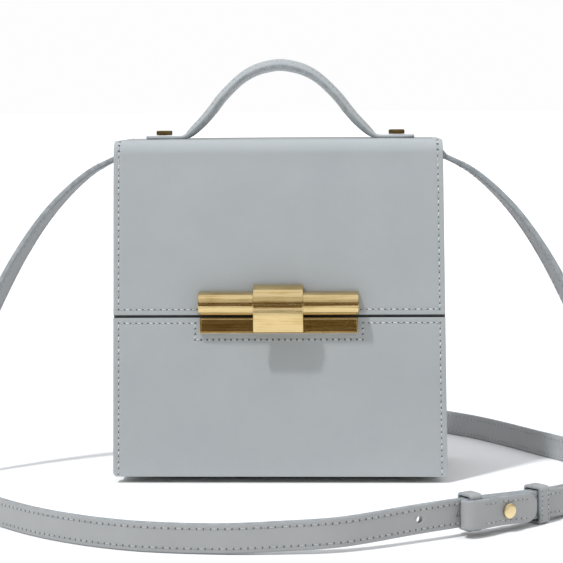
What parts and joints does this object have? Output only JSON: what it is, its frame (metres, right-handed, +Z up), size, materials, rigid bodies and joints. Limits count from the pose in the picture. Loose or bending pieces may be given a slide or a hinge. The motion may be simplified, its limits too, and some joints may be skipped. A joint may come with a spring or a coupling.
{
  "type": "box bag",
  "caption": "Structured upright box bag in smooth pale grey leather, with a flap, a gold bar clasp with a swinging latch, a padded top handle and a shoulder strap laid on the floor round it.",
  "frame": {"origin": "on the floor, at the middle of the rectangle that the bag and its strap cover", "axes": "+Z up, -Y out of the bag's front, +X to the right as seen from the front"},
  "size_m": [0.3844, 0.3281, 0.2317],
  "materials": {
    "leather": "smooth calf leather with a soft satin finish",
    "strap_leather": "smooth calf leather strap with painted edges",
    "gold": "light gold plate, finely brushed lengthwise",
    "stud_brass": "polished dark brass",
    "foot_brass": "polished brass"
  },
  "bodies": {
    "bag": {"back_panel": "leather", "front_wall": "leather", "front_facing": "leather", "gusset": "leather", "flap": "leather", "foot_front_left": "foot_brass", "foot_front_right": "foot_brass", "foot_back_left": "foot_brass", "foot_back_right": "foot_brass", "handle": "leather", "handle_stud_left": "stud_brass", "handle_stud_right": "stud_brass", "clasp_bar": "gold", "clasp_pin": "gold", "clasp_plate": "gold", "strap_tab_left": "strap_leather", "strap_tab_right": "strap_leather", "strap_ring_left": "gold", "strap_ring_right": "gold", "strap_left": "strap_leather", "strap_right": "strap_leather", "strap_keeper_end": "strap_leather", "strap_keeper_slide": "strap_leather", "strap_stud": "gold"},
    "latch": {"clasp_latch": "gold"}
  },
  "joints": [
    {"name": "latch_hinge", "type": "hinge", "parent": "bag", "child": "latch", "pos_m": [0, -0.0039, 0.1074], "axis": [-1, 0, 0], "range_deg": [0, 80]}
  ]
}
